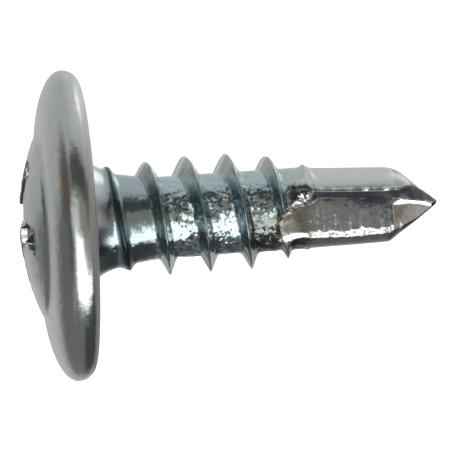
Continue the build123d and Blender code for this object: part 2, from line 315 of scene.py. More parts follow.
def surface(phi, z, t=None):
    """Point on the shank or drill at angle phi (degrees) and z; also the masks."""
    phi, z = np.broadcast_arrays(np.asarray(phi, float), np.asarray(z, float))
    land = land_r(z)
    cx = axis_x(z)
    turn_ = phi / 360.0
    r = land.copy()
    crest_m = np.zeros_like(r)
    flank_m = np.zeros_like(r)
    painted_dark_ridge_m = np.zeros_like(r)
    teal_and_painted_shade_m = np.zeros_like(r)
    rough = (0.25 * smooth(0.4, 0.9, z) + 0.75 * smooth(2.1, 2.8, z)) * (1 - smooth(7.2, 7.9, z))
    px, py = r * np.cos(np.radians(phi)), r * np.sin(np.radians(phi))
    # the rolled root is dented by the dies, most of all along the side that faced up here
    side = 0.22 + 0.78 * smooth(35, 60, phi % 360) * (1 - smooth(250, 320, phi % 360))
    dent = (0.017 * noise(px * 3.4, py * 3.4, z * 3.4, 5) + 0.012 * noise(px * 7.5, py * 7.5, z * 6.5, 6)
            - 0.020 * (facets(px * 3.3, py * 3.3, z * 3.0, 8) - 0.5))
    r = r + dent * rough * side
    for n in range(-1, 6):
        tt = turn_ + n
        zc, h = crest_z(tt), ridge_h(tt)
        dz = z - zc
        slope = np.where(dz < 0, base_head(tt), base_tip(tt)) / np.maximum(h, 1e-3)
        e = np.interp(phi % 360, [0, 60, 180, 300, 360], [0.075, 0.042, 0.030, 0.042, 0.075]) + 0.014 * noise(tt * 26, 0, 0, 9)
        nick = 0.035 * noise(tt * 31, 1.7, 0, 10) * smooth(0.8, 1.2, tt)
        hh = h * (1 + 0.05 * noise(tt * 9, 3.1, 0, 12)) + nick * smooth(0.1, 0.4, h)
        f = hh - (np.sqrt(dz * dz + e * e) - e) / np.maximum(slope, 0.2)
        s = np.where(dz < 0, 0.018 + 0.025 * (1 - smooth(0.5, 0.8, tt)), 0.034)
        f = np.where(h > 0.004, s * np.logaddexp(0, np.clip(f / s, -40, 40)), 0)
        f = f * np.clip(h / 0.02, 0, 1)
        r = r + f
        near = np.exp(-(dz / 0.055) ** 2) * smooth(0.02, 0.12, h)
        crest_m = np.maximum(crest_m, near * smooth(0.4, 0.8, tt))
        # painted shade: the first turn's ridge is painted near-black along its crest and flanks
        wide = 0.03 + 0.05 * smooth(70, 110, phi % 360)
        off_ = np.where(dz > 0, np.maximum(dz - wide, 0) / 0.045, np.minimum(dz + 0.07, 0) / 0.05)
        painted_dark_ridge_m = np.maximum(painted_dark_ridge_m, np.exp(-off_ ** 2) * smooth(0.02, 0.08, h) * (1 - smooth(0.45, 0.8, tt)))
        flank_m = np.maximum(flank_m, smooth(0.03, 0.12, f))
        teal_and_painted_shade_m = np.maximum(teal_and_painted_shade_m, smooth(0.03, 0.12, f) * np.where(dz < 0.02, 1.0, 0.30))
    # nick in the third crest
    nx, ny, nz = 1.93, 0.42, 3.90
    q = (r * np.cos(np.radians(phi)) - nx) ** 2 + (r * np.sin(np.radians(phi)) - ny) ** 2 + (z - nz) ** 2
    r = r - 0.07 * np.exp(-q / 0.010)
    # step between the rolled thread and the forged drill
    zs = np.interp(phi % 180, [0, 44, 60, 70, 140, 160, 180], [7.645, 7.66, 7.76, 7.90, 7.7, 7.64, 7.645])
    lip = np.exp(-((z - zs) / 0.090) ** 2)
    lip = lip * np.interp(phi % 180, [0, 22, 42, 62, 72, 140, 168, 180], [1, 1, 0.45, 0.45, 0.1, 0.1, 0.1, 1])
    r = r + 0.044 * lip
    # flutes, front and back
    half = np.floor(phi / 180.0)
    ph = phi - 180 * half
    cxs = np.where(half % 2 == 1, -cx, cx)
    cut, fm_ = flute_r(ph, np.maximum(z, 6.4), cxs)
    zb = run_z(ph) + 0.03 * noise(ph * 0.16, half * 5.3, 0, 14)
    ln = run_len(ph)
    g = np.clip((z - zb) / ln, 0, 1)
    g = 1 - (1 - g) ** 1.7
    base = np.minimum(r, land + 9 * (1 - np.clip((z - zb) / 0.05, 0, 1)))
    carved = land - np.maximum(land - cut, 0) * g
    inside = (cut < land) & (z > zb) & (ph > np.where(z > 10.6, 0.5, 60)) & (ph < 165)
    milled = np.where(inside, smooth(0.0, 0.02, (land - carved)), 0)
    rr = np.where(inside, np.minimum(base, carved), r)
    # burrs thrown up along the run-out
    d = (zb - z)
    burr = np.exp(-((d - 0.05) / 0.05) ** 2) * np.interp(ph, [66, 72, 96, 112, 150], [0.2, 1, 0.9, 0.45, 0.2])
    burr = burr * (0.55 + 0.9 * noise(ph * 0.35, z * 3, 0, 15)) * (ph > 64) * (ph < 150) * (~inside)
    rr = rr + 0.06 * np.clip(burr, 0, 1)
    # a thin lip and torn beads of metal along it
    q = np.exp(-((ph - (103.2 - 15.6 * (z - 6.60))) / 1.2) ** 2) * smooth(6.56, 6.68, z) * (1 - smooth(6.98, 7.10, z))
    rr = rr + 0.05 * q * inside
    burr_painted_highlight_m = 0.0 * z
    # painted highlight on the thin lip
    fm_["painted_highlight_strip"] = np.maximum(fm_["painted_highlight_strip"], 0.9 * q)
    for pb, zb2, ang, ls, ws, hb2 in ((75.5, 7.64, -47, 0.19, 0.070, 0.055), (78.0, 7.40, -60, 0.16, 0.100, 0.070),
                                      (71.5, 7.46, -60, 0.07, 0.040, 0.040), (83.0, 7.20, -40, 0.14, 0.060, 0.055),
                                      (86.8, 7.00, -25, 0.10, 0.035, 0.035), (90.0, 6.84, -20, 0.08, 0.028, 0.025)):
        s1, s2 = (ph - pb) * 0.0246, z - zb2
        ca_, sa_ = math.cos(math.radians(ang)), math.sin(math.radians(ang))
        al, ac = s1 * sa_ + s2 * ca_, s1 * ca_ - s2 * sa_
        q = np.exp(-(al / ls) ** 2 - (ac / ws) ** 2)
        q = q * np.clip(0.75 + 0.9 * noise(ph * 0.55, z * 14, 0, 51), 0, 1)
        rr = rr + hb2 * q
        burr_painted_highlight_m = np.maximum(burr_painted_highlight_m, smooth(0.15, 0.45, q))
    # raised burr along the cutting edge
    e = edge_deg(np.maximum(z, 7.5))
    de = ph - e
    lipz = smooth(7.95, 8.1, z) * (1 - smooth(11.0, 11.3, z))
    ragged = np.clip(0.45 + 0.8 * noise(z * 6.5, 0.3, 0, 16), 0, 1.2)
    bead = 0.0
    for zb_, hb_ in ((8.13, 0.5), (8.55, 0.7), (9.14, 0.6), (9.62, 1.0), (9.74, 1.0), (9.98, 0.5), (10.36, 1.0), (10.46, 0.9),
                     (10.74, 1.0), (10.86, 0.8)):
        bead = bead + hb_ * np.exp(-((z - zb_ - 0.02 * (half % 2)) / 0.045) ** 2)
    rr = rr + (0.014 * ragged + 0.040 * bead) * lipz * np.exp(-((de + 2.2) / 1.6) ** 2) * (de < 0.05)
    # ragged rounded crease and bevel at the heel of the flute
    heel = fm_["heel"] * inside
    rr = rr + heel * (0.008 * noise(z * 7.5, ph * 0.35, 0, 17) + 0.006 * noise(z * 16, ph * 0.5, 0, 18))
    rr = np.where(z > 10.95, np.minimum(rr, land + 0.012), rr)
    rr = np.maximum(rr, 0.03)
    # the neck leans a little towards one side
    off = 0.04 * (1 - smooth(0.45, 1.25, z))
    x = rr * np.cos(np.radians(phi)) + cx + off
    y = rr * np.sin(np.radians(phi))
    olive = smooth(5.85, 6.0, z) * (1 - smooth(6.7, 6.9, z)) * smooth(112, 122, phi) * (1 - smooth(165, 185, phi))
    # teal film, partly its real tint and partly painted shade: strongest on the side turned to the camera, weak at the
    # top and bottom
    teal_film_and_painted_shade = np.interp(phi % 360, [0, 35, 65, 140, 170, 185, 360], [0.15, 0.35, 1.0, 1.0, 0.45, 0.25, 0.15])
    run = inside * (1 - smooth(7.3, 8.0, z))
    solid = 1 - milled
    # painted shade: brown-black colour behind the burrs and along the run-out's lower side, on a patch of the neck, on
    # the run-out's end wall and where the heel begins
    painted_shade = (0.75 * smooth(6.98, 7.12, z) * (1 - smooth(7.62, 7.74, z)) * smooth(53, 58, phi) * (1 - smooth(84, 90, phi))
             + 0.95 * smooth(6.80, 6.90, z) * (1 - smooth(7.45, 7.85, z)) * smooth(136, 140, phi) * (1 - smooth(150, 160, phi)))
    painted_shade = painted_shade + 0.45 * np.exp(-((phi - 78) / 12.0) ** 2 - ((z - 0.88) / 0.24) ** 2)
    painted_shade = np.where(inside & (z < 8.3), 0.80 * smooth(0.02, 0.10, g) * (1 - smooth(0.88, 0.99, g)) * (1 - smooth(98, 112, ph)), painted_shade)
    painted_shade = np.where(inside & (ph > 131), np.maximum(painted_shade, 0.85 * np.exp(-((z - 7.68) / 0.075) ** 2)), painted_shade)
    painted_shade = painted_shade * (1 - burr_painted_highlight_m)
    # painted shade: base colour darkened on the point's land towards the tip, on the heel side of the land and on a
    # patch of the neck
    painted_darkening = np.where((ph > 120) | (half % 2 == 1), smooth(10.80, 10.98, z), 0.45 * smooth(10.62, 10.80, z) + 0.55 * smooth(11.2, 11.4, z))
    painted_darkening = np.maximum(painted_darkening, 0.25 * smooth(136, 142, phi) * (1 - smooth(190, 200, phi)) * smooth(7.7, 7.9, z))
    painted_darkening = np.maximum(painted_darkening, 0.75 * (1 - smooth(0.50, 0.78, z)) * smooth(93, 101, phi) * (1 - smooth(125, 135, phi)) * (z > 0.26))
    painted_darkening = painted_darkening * solid
    # painted highlight: a thin bright line on the land before the run-out
    fm_["painted_highlight_strip"] = np.maximum(fm_["painted_highlight_strip"], 0.85 * np.exp(-((phi - 49.5) / 2.6) ** 2) * smooth(7.15, 7.3, z)
                              * (1 - smooth(7.52, 7.62, z)) * np.clip(0.6 + 0.8 * noise(z * 14, 2.2, 0, 61), 0, 1))
    # grey-olive stretch before the run-out
    gap4 = smooth(5.55, 5.75, z) * (1 - smooth(6.55, 6.75, z)) * smooth(84, 92, phi) * (1 - smooth(165, 185, phi))
    gap4 = gap4 * solid * (1 - np.exp(-((phi - 92) / 9.0) ** 2 - ((z - 6.30) / 0.20) ** 2))
    # painted glint: a bright spot on a thread flank, near-white in base colour, whose normal also leans tipward
    painted_glint = np.exp(-((phi - 42) / 9.0) ** 2 - ((z - 3.64) / 0.09) ** 2)
    return x, y, z, dict(painted_dark_ridge=painted_dark_ridge_m * (1 - milled), olive=np.maximum(0.9 * olive, 0.95 * gap4) * (1 - milled),
                         burr=burr_painted_highlight_m, painted_shade=painted_shade, painted_darkening=painted_darkening, painted_glint=painted_glint, point=fm_["point"] * inside,
                         painted_highlight_strip=np.where((z < 7.7) & (phi < 60), fm_["painted_highlight_strip"], fm_["painted_highlight_strip"] * inside), crest=crest_m * (1 - milled), flank=flank_m * (1 - milled),
                         teal_and_painted_shade=teal_and_painted_shade_m * (1 - milled) * teal_film_and_painted_shade, milled=np.maximum(milled, fm_["wall"] * inside),
                         heel=heel, wall=fm_["wall"] * inside, run=run,
                         dent=rough * side * (1 - milled) * (1 - flank_m))


# ---------------------------------------------------------------------------
# the mesh: rings from the bottom of the recess over the dome, rim and
# underside to the neck; rows that follow the thread; rings again to the point
# ---------------------------------------------------------------------------
verts, masks = [], {k: [] for k in ("head", "recess", "crest", "flank", "milled", "heel", "wall", "dent",
                                  "painted_dark_ridge", "olive", "point", "painted_highlight_strip", "teal_and_painted_shade", "run", "burr", "painted_shade", "painted_darkening", "painted_glint")}
even = np.arange(K) * 360.0 / K
ch, sh = np.cos(np.radians(even)), np.sin(np.radians(even))


def add(x, y, z, **m):
    """Adds one row of vertices; returns their first index."""
    n = len(np.atleast_1d(x))
    start = sum(len(v) for v in verts)
    verts.append(np.stack(np.broadcast_arrays(x, y, z), 1).astype(float))
    for k in masks:
        masks[k].append(np.broadcast_to(np.asarray(m.get(k, 0.0), float), (n,)).copy())
    return start


def lean(x, y, z):
    """The head is struck a little off the axis and a little tilted."""
    c, s = math.cos(HEAD_TILT), math.sin(HEAD_TILT)
    return x * c + z * s + HEAD_X, y, z * c - x * s


def dome_z(r):
    return TOP + DOME_R - np.sqrt(DOME_R ** 2 - np.minimum(r, 7) ** 2)


# cross recess outline: columns 12 + 60 k are the wings' middles
RX = 0.15                                          # the recess is struck off the head's middle
WING = 12 * 1.5
jj = ((np.arange(K) - 12 + 30) % 60) - 30          # -30..29 from the wing's middle
quad = (np.arange(K) - 12 + 30) // 60              # which wing
aj = np.abs(jj)


def cross(depth, grow=0.0):
    rt = 2.42 - 0.637 * depth + grow
    hw = 0.46 - 0.071 * depth + grow
    rc = 0.98 - 0.113 * depth + grow
    # along the half outline: tip 0..5, side 5..19, core 19..30
    hw_c = np.minimum(hw, rc * 0.7)
    side_end = np.sqrt(rc ** 2 - hw_c ** 2)
    a_end = np.arctan2(hw_c, side_end)
    corner = 0.12
    px = np.empty(K)
    py = np.empty(K)
    tip = aj <= 5
    f = aj / 5.0
    # superellipse-like rounded tip
    ang = np.minimum(f, 1.0) * (np.pi / 2)
    tx = rt - corner * 1.6 * (1 - np.abs(np.cos(ang)) ** 0.7)
    ty = hw_c * np.sin(ang) ** 0.9
    px[tip], py[tip] = tx[tip], ty[tip]
    sd = (aj > 5) & (aj <= 19)
    f = (aj - 5) / 14.0
    x_s = (rt - corner * 1.6) + (side_end - (rt - corner * 1.6)) * f
    px[sd], py[sd] = x_s[sd], (hw_c + 0 * f)[sd]
    co = aj > 19
    f = (aj - 19) / 11.0
    a = a_end + (np.pi / 4 - a_end) * f
    px[co], py[co] = (rc * np.cos(a))[co], (rc * np.sin(a))[co]
    py = py * np.where(jj < 0, -1, 1)
    w = np.radians(WING + 90.0 * quad)
    return px * np.cos(w) - py * np.sin(w) + RX, px * np.sin(w) + py * np.cos(w)


# depth of the mouth for each column (the dome falls away outwards)
dm = np.zeros(K)
for _ in range(4):
    ox, oy = cross(dm)
    dm = dome_z(np.hypot(ox, oy)) - TOP
rows = []
FOOT_D = 2.12
center = add(*[np.atleast_1d(v) for v in lean(RX, 0.0, TOP + FOOT_D + 0.74 / math.tan(math.radians(69)))],
             head=1, recess=1)
for f in (0.2, 0.4, 0.6, 0.8, 1.0):                # cone at the bottom
    r = 0.70 * f
    rows.append(add(*lean(r * ch + RX, r * sh, TOP + FOOT_D + (0.74 - r) / math.tan(math.radians(69)) + 0 * ch),
                    head=1, recess=1))
fx, fy = cross(np.full(K, FOOT_D))
for f in (0.25, 0.5, 0.75, 0.95):                   # wing floors
    x = 0.72 * ch + RX + (fx - RX - 0.72 * ch) * f
    y = 0.72 * sh + (fy - 0.72 * sh) * f
    rows.append(add(*lean(x, y, TOP + FOOT_D + 0.02 * (1 - f) + 0 * ch), head=1, recess=1))
ROUND = 0.05
for i in range(22):                                 # walls
    f = (i / 21.0) ** 0.9
    d = FOOT_D + (dm + ROUND - FOOT_D) * f
    x, y = cross(d)
    jit = 0.020 * noise(x * 5, y * 5, d * 3, 21) + 0.014 * noise(x * 11, y * 11, d * 8, 22)
    rr_ = np.hypot(x, y)
    x, y = x * (1 + jit / rr_), y * (1 + jit / rr_)
    rows.append(add(*lean(x, y, TOP + d), head=1, recess=1))
for a in (22, 45, 68, 90):                          # rounded mouth
    a = math.radians(a)
    x, y = cross(dm, ROUND * (1 - math.cos(a)))
    rag = 1 + 0.010 * noise(x * 6, y * 6, 0, 23)
    rr_ = np.hypot(x, y)
    zz = dome_z(rr_) + ROUND * (1 - math.sin(a))
    # a little metal thrown up round the mouth of the wings
    zz = zz - 0.030 * math.sin(a) * np.clip(0.4 + 0.9 * noise(x * 4.5, y * 4.5, 0, 24), 0, 1)
    rows.append(add(*lean(x * rag, y * rag, zz), head=1, recess=1 - math.sin(a)))
mx, my = cross(dm, ROUND)
R_OUT = 2.58
for i in range(1, 13):                              # dome between the wings
    f = i / 12.0
    x = mx + (R_OUT * ch - mx) * f
    y = my + (R_OUT * sh - my) * f
    rr_ = np.hypot(x, y)
    lip = 0.030 * np.clip(0.4 + 0.9 * noise(mx * 4.5, my * 4.5, 0, 24), 0, 1) * math.exp(-(f / 0.10) ** 2)
    rows.append(add(*lean(x, y, dome_z(rr_) - lip), head=1))


def head_profile():
    """Dome edge, hollow, washer, rim and underside as (r, z)."""
    pts = []
    for r in np.linspace(2.62, 2.92, 5):
        pts.append((r, float(dome_z(r))))
    foot = curve([2.92, 3.00, 3.08, 3.16, 3.22, 3.28, 3.36, 3.46],
                 [float(dome_z(2.92)), float(dome_z(3.00)) + 0.004, -1.592, -1.541, -1.515, -1.502, -1.496, -1.494])
    for r in np.linspace(2.96, 3.46, 15):
        pts.append((r, float(foot(r))))
    r2 = 3.46
    p = np.array([(5.377, -0.52), (5.377, -1.19), (3.815, -1.501), (3.156, -1.501)])
    ts = np.linspace(0, 1, 400)[:, None]
    bz = ((1 - ts) ** 3 * p[0] + 3 * ts * (1 - ts) ** 2 * p[1] + 3 * ts ** 2 * (1 - ts) * p[2] + ts ** 3 * p[3])[::-1]
    seg = np.concatenate([[0], np.cumsum(np.hypot(*np.diff(bz, axis=0).T))])
    ok = bz[:, 0] > r2 + 0.05
    for s in np.linspace(seg[ok][0], seg[-1], 22)[:-1]:
        pts.append((float(np.interp(s, seg, bz[:, 0])), float(np.interp(s, seg, bz[:, 1]))))
    for a in np.linspace(0, 90, 14):
        a = math.radians(a)
        pts.append((4.785 + 0.592 * math.cos(a), -0.52 + 0.595 * math.sin(a)))
    for r in (4.6, 4.2, 3.8, 3.4, 3.0, 2.75, 2.6):
        pts.append((r, 0.075 * float(smooth(2.7, 4.7, np.array(r)))))
    for r, z in ((2.48, 0.004), (2.38, 0.014), (2.29, 0.034), (2.215, 0.066), (2.16, 0.105), (2.115, 0.15),
                 (2.08, 0.195)):
        pts.append((r, z))
    return pts


for r, z in head_profile():
    w = float(smooth(2.5, 2.15, np.array(r)))
    hx_, hy_, hz_ = lean(r * ch, r * sh, z + 0 * ch)
    # shallow unevenness of the forged washer
    swell = 0.012 * noise(np.cos(np.radians(even)) * 1.6, np.sin(np.radians(even)) * 1.6, r * 0.8, 31)
    grow = float(smooth(3.2, 5.0, np.array(r)))
    hx_, hy_ = hx_ * (1 + swell * grow / r), hy_ * (1 + swell * grow / r)
    nx_, ny_ = r * ch + 0.04, r * sh
    if z < -0.2:
        w = 0.0
    rows.append(add(hx_ * (1 - w) + nx_ * w, hy_ * (1 - w) + ny_ * w, hz_, head=1 - w))
for z in (0.24,):
    x, y, zz, m = surface(column_deg(z)[0], z)
    rows.append(add(x, y, zz, **m))
Z_A, Z_B = 0.24, 7.62

# rows along the thread
flank_f = np.array([0.05, 0.12, 0.24, 0.40, 0.58, 0.76, 0.90, 1.04])
col = {}
labels = np.arange(-2 * M, 6 * M + 1)
z_try = np.zeros((K, len(labels)))
for _ in range(2):
    deg = column_deg(z_try.ravel()).reshape(K, len(labels), K)[np.arange(K), :, np.arange(K)] if _ else \
        np.repeat(even[:, None], len(labels), 1)
    for li, L in enumerate(labels):
        n, m = divmod(int(L), M)
        t = deg[:, li] / 360.0 + n
        z0, z1 = crest_z(t), crest_z(t + 1)
        b0, b1 = base_tip(t), base_head(t + 1)
        if m == 0:
            z = z0
        elif m <= 8:
            z = z0 + b0 * flank_f[m - 1]
        elif m >= M - 8:
            z = z1 - b1 * flank_f[M - m - 1]
        else:
            a, b = z0 + b0 * flank_f[-1], z1 - b1 * flank_f[-1]
            z = a + (b - a) * (m - 8) / (M - 16.0)
        z_try[:, li] = z
helix = []
for j in range(K):
    z = z_try[j]
    d = deg[j]
    keep = (z > Z_A + 0.012) & (z < Z_B - 0.012)
    lab = labels[keep]
    x, y, zz, m = surface(d[keep], z[keep])
    start = add(x, y, zz, **m)
    helix.append((lab, start))

tail = []
zs_ = np.concatenate([np.arange(Z_B, 8.32, 0.034), np.arange(8.35, 10.38, 0.045), np.arange(10.41, 12.16, 0.036),
                      [12.175, 12.195, 12.208]])
for z in zs_:
    x, y, zz, m = surface(column_deg(z)[0], z)
    tail.append(add(x, y, zz, **m))
tip = add(np.array([-0.092]), np.array([0.0]), np.array([12.232]), milled=1)

P = np.concatenate(verts)
MASK = {k: np.concatenate(v) for k, v in masks.items()}
faces = []
for j in range(K):
    j2 = (j + 1) % K
    faces.append((center, rows[0] + j2, rows[0] + j))
    for a, b in zip(rows[:-1], rows[1:]):
        faces.append((a + j, a + j2, b + j2, b + j))
    for a, b in zip(tail[:-1], tail[1:]):
        faces.append((a + j, a + j2, b + j2, b + j))
    faces.append((tail[-1] + j, tail[-1] + j2, tip))
    # stitch this column to the next along the thread rows
    la, sa = helix[j]
    lb, sb = helix[j2]
    if j2 == 0:
        lb = lb - M
    A = [(-10 ** 6, rows[-1] + j)] + [(int(v), sa + i) for i, v in enumerate(la)] + [(10 ** 6, tail[0] + j)]
    B = [(-10 ** 6, rows[-1] + j2)] + [(int(v), sb + i) for i, v in enumerate(lb)] + [(10 ** 6, tail[0] + j2)]
    ia = ib = 0
    while ia < len(A) - 1 or ib < len(B) - 1:
        ka = A[ia + 1][0] if ia < len(A) - 1 else 10 ** 7
        kb = B[ib + 1][0] if ib < len(B) - 1 else 10 ** 7
        if ka == kb:
            faces.append((A[ia][1], B[ib][1], B[ib + 1][1], A[ia + 1][1]))
            ia, ib = ia + 1, ib + 1
        elif ka < kb:
            faces.append((A[ia][1], B[ib][1], A[ia + 1][1]))
            ia += 1
        else:
            faces.append((A[ia][1], B[ib][1], B[ib + 1][1]))
            ib += 1

mesh = bpy.data.meshes.new("self_drilling_screw_surface")
mesh.from_pydata(to_row(P).tolist(), [], faces)
mesh.update()
mesh.validate()
mesh.shade_smooth()
mesh.set_sharp_from_angle(angle=math.radians(42))
att = mesh.attributes.new("screw_co", "FLOAT_VECTOR", "POINT")
att.data.foreach_set("vector", P.astype(np.float32).ravel())
for k, v in MASK.items():
    a_ = mesh.attributes.new("m_" + k, "FLOAT", "POINT")
    a_.data.foreach_set("value", v.astype(np.float32))
screw = bpy.data.objects.new("screw_surface", mesh)
bpy.context.collection.objects.link(screw)
tris = sum(len(p.vertices) - 2 for p in mesh.polygons)
print("screw triangles", tris, "vertices", len(mesh.vertices))
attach(screw, "root")
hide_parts("self_drilling_screw")


# ---------------------------------------------------------------------------
# material: bright zinc
# ---------------------------------------------------------------------------
class Nodes:
    def __init__(self, tree):
        self.t = tree

    def new(self, kind, **kw):
        n = self.t.nodes.new(kind)
        for k, v in kw.items():
            setattr(n, k, v)
        return n

    def link(self, a, b):
        self.t.links.new(a, b)

    def put(self, sock, v):
        if hasattr(v, "is_output") or isinstance(v, bpy.types.NodeSocket):
            self.link(v, sock)
        else:
            sock.default_value = v

    def math(self, op, a, b=0.0, c=0.0, clamp=False):
        n = self.new("ShaderNodeMath", operation=op, use_clamp=clamp)
        self.put(n.inputs[0], a)
        self.put(n.inputs[1], b)
        self.put(n.inputs[2], c)
        return n.outputs[0]

    def vmath(self, op, a, b=None, scale=None):
        n = self.new("ShaderNodeVectorMath", operation=op)
        self.put(n.inputs[0], a)
        if b is not None:
            self.put(n.inputs[1], b)
        if scale is not None:
            self.put(n.inputs["Scale"], scale)
        return n.outputs["Value"] if op in ("DOT_PRODUCT", "LENGTH") else n.outputs[0]

    def step(self, x, a, b, lo=0.0, hi=1.0, kind="SMOOTHSTEP"):
        n = self.new("ShaderNodeMapRange", interpolation_type=kind)
        self.put(n.inputs["Value"], x)
        n.inputs["From Min"].default_value = a
        n.inputs["From Max"].default_value = b
        n.inputs["To Min"].default_value = lo
        n.inputs["To Max"].default_value = hi
        return n.outputs["Result"]

    def mix(self, f, a, b, mode="MIX"):
        n = self.new("ShaderNodeMix", data_type="RGBA", blend_type=mode)
        self.put(n.inputs["Factor"], f)
        self.put(n.inputs["A"] if False else n.inputs[6], a)
        self.put(n.inputs[7], b)
        return n.outputs[2]

    def noise(self, vec, scale, detail=2.0, rough=0.5, color=False):
        n = self.new("ShaderNodeTexNoise")
        self.put(n.inputs["Vector"], vec)
        n.inputs["Scale"].default_value = scale
        n.inputs["Detail"].default_value = detail
        n.inputs["Roughness"].default_value = rough
        return n.outputs["Color" if color else "Fac"]

    def voronoi(self, vec, scale, feature="F1", out="Distance"):
        n = self.new("ShaderNodeTexVoronoi", feature=feature)
        self.put(n.inputs["Vector"], vec)
        n.inputs["Scale"].default_value = scale
        return n.outputs[out]

    def attr(self, name, vector=False):
        n = self.new("ShaderNodeAttribute", attribute_name=name)
        return n.outputs["Vector" if vector else "Fac"]


mat = bpy.data.materials.new("bright_zinc")
mat.use_nodes = True
N = Nodes(mat.node_tree)
bsdf = mat.node_tree.nodes["Principled BSDF"]
co = N.attr("screw_co", True)
a_head, a_rec, a_crest, a_flank = (N.attr("m_" + k) for k in ("head", "recess", "crest", "flank"))
a_mill, a_heel, a_dent, a_wall_painted_shade = (N.attr("m_" + k) for k in ("milled", "heel", "dent", "wall"))
a_painted_dark_ridge, a_olive, a_point, a_painted_highlight = (N.attr("m_" + k) for k in ("painted_dark_ridge", "olive", "point", "painted_highlight_strip"))
a_teal_and_painted_shade, a_run = N.attr("m_teal_and_painted_shade"), N.attr("m_run")
a_burr_painted_highlight, a_painted_shade, a_painted_darkening, a_painted_glint = (N.attr("m_" + k) for k in ("burr", "painted_shade", "painted_darkening", "painted_glint"))
sep = N.new("ShaderNodeSeparateXYZ")
N.link(co, sep.inputs[0])
zc_ = sep.outputs[2]

# colour: bluish grey zinc, with a faint teal, straw and pink film in patches; painted shade and painted highlights at
# set spots
n_big = N.noise(co, 0.9, 2.0)
n_mid = N.noise(co, 4.0, 3.0)
n_fine = N.noise(co, 16.0, 3.0)
n_patch = N.noise(co, 1.7, 2.0)
base = N.mix(N.step(n_big, 0.35, 0.65), (0.50, 0.61, 0.64, 1), (0.55, 0.64, 0.65, 1))
base = N.mix(N.math("MULTIPLY", N.step(n_mid, 0.45, 0.70), 0.6), base, (0.38, 0.51, 0.55, 1))
base = N.mix(N.step(zc_, 2.5, 1.9), base, N.mix(n_mid, (0.36, 0.45, 0.48, 1), (0.46, 0.53, 0.54, 1)))
base = N.mix(N.step(zc_, 0.80, 0.35), base, (0.60, 0.65, 0.68, 1))
base = N.mix(N.step(zc_, 0.36, 0.22), base, (0.66, 0.68, 0.68, 1))
base = N.mix(N.step(zc_, 6.95, 7.25), base, (0.56, 0.62, 0.61, 1))
base = N.mix(N.step(zc_, 7.5, 7.75), base, N.mix(N.step(n_mid, 0.35, 0.7), (0.66, 0.695, 0.66, 1), (0.72, 0.74, 0.71, 1)))
# painted shade: near-black base colour on the point's land, the heel side and a patch of the neck
base = N.mix(N.math("MULTIPLY", a_painted_darkening, 0.95), base, (0.13, 0.135, 0.14, 1))
hb = N.mix(N.step(n_big, 0.35, 0.65), (0.56, 0.61, 0.60, 1), (0.62, 0.635, 0.61, 1))
hb = N.mix(N.math("MULTIPLY", N.step(n_patch, 0.56, 0.72), 0.55), hb, (0.66, 0.62, 0.48, 1))
hb = N.mix(N.math("MULTIPLY", N.step(n_mid, 0.45, 0.75), 0.30), hb, (0.50, 0.55, 0.56, 1))
base = N.mix(a_head, base, hb)
base = N.mix(N.math("MULTIPLY", a_head, N.step(zc_, -0.20, -0.12)), base, (0.60, 0.585, 0.57, 1))
# painted shade and painted highlight in the recess: darker mottled teal on its walls, a dark reddish tone on one wing,
# and the far wall pale near the mouth and darker deeper down
far_wall = N.math("MULTIPLY", a_rec, N.step(sep.outputs[1], 1.35, 0.9))
base = N.mix(N.math("MULTIPLY", a_rec, 0.9), base, N.mix(N.step(n_mid, 0.40, 0.60), (0.14, 0.24, 0.24, 1), (0.45, 0.56, 0.52, 1)))
base = N.mix(far_wall, base, N.mix(N.step(zc_, -1.88, -1.96), (0.40, 0.48, 0.48, 1), (0.80, 0.83, 0.83, 1)))
base = N.mix(N.math("MULTIPLY", a_rec, N.step(sep.outputs[0], 0.70, 0.90, 0.0, 0.97)), base, (0.42, 0.34, 0.35, 1))
from_blob = N.math("ADD", sep.outputs[0], 0.56)
blob = N.math("MULTIPLY", far_wall, N.step(N.math("MULTIPLY", from_blob, from_blob), 0.030, 0.012))
base = N.mix(N.math("MULTIPLY", a_flank, 0.8), base, N.mix(N.step(n_mid, 0.4, 0.65), (0.58, 0.62, 0.60, 1), (0.70, 0.72, 0.68, 1)))
# teal film with painted shade: a darker teal across the front band of the flanks
teal_film_and_painted_shade = N.mix(N.math("MULTIPLY", N.step(sep.outputs[0], 0.30, 0.0), N.step(sep.outputs[0], -1.2, -0.8)),
             (0.17, 0.31, 0.36, 1), (0.085, 0.165, 0.195, 1))
base = N.mix(N.math("MULTIPLY", a_teal_and_painted_shade, N.step(n_mid, 0.35, 0.62, 0.60, 1.0)), base, teal_film_and_painted_shade)
# painted glint: near-white base colour on a spot of a thread flank
base = N.mix(N.math("MULTIPLY", a_painted_glint, 0.8), base, (0.86, 0.95, 0.96, 1))
base = N.mix(N.math("MULTIPLY", a_crest, N.step(n_fine, 0.35, 0.6, 0.15, 0.6)), base, (0.66, 0.64, 0.56, 1))
specks = N.step(N.noise(co, 9.0, 4.0, 0.7), 0.47, 0.60)
base = N.mix(N.math("MULTIPLY", N.math("MULTIPLY", a_dent, specks), 0.5), base, (0.20, 0.20, 0.23, 1))
base = N.mix(N.math("MULTIPLY", a_olive, N.step(n_mid, 0.35, 0.65, 0.92, 0.66)), base, (0.13, 0.13, 0.095, 1))
base = N.mix(N.math("MULTIPLY", a_mill, 0.85), base,
             N.mix(N.step(zc_, 7.2, 8.2), (0.46, 0.43, 0.38, 1), N.mix(N.step(n_mid, 0.4, 0.65), (0.37, 0.38, 0.45, 1),
                                                                      (0.47, 0.48, 0.53, 1))))
dots = N.step(N.noise(co, 20.0, 2.0), 0.56, 0.68)
base = N.mix(N.math("MULTIPLY", N.math("MULTIPLY", a_mill, dots), 0.28), base, (0.78, 0.80, 0.84, 1))
base = N.mix(N.math("MULTIPLY", a_mill, N.step(sep.outputs[0], -0.15, 0.25, 0.0, 0.55)), base, (0.27, 0.29, 0.34, 1))
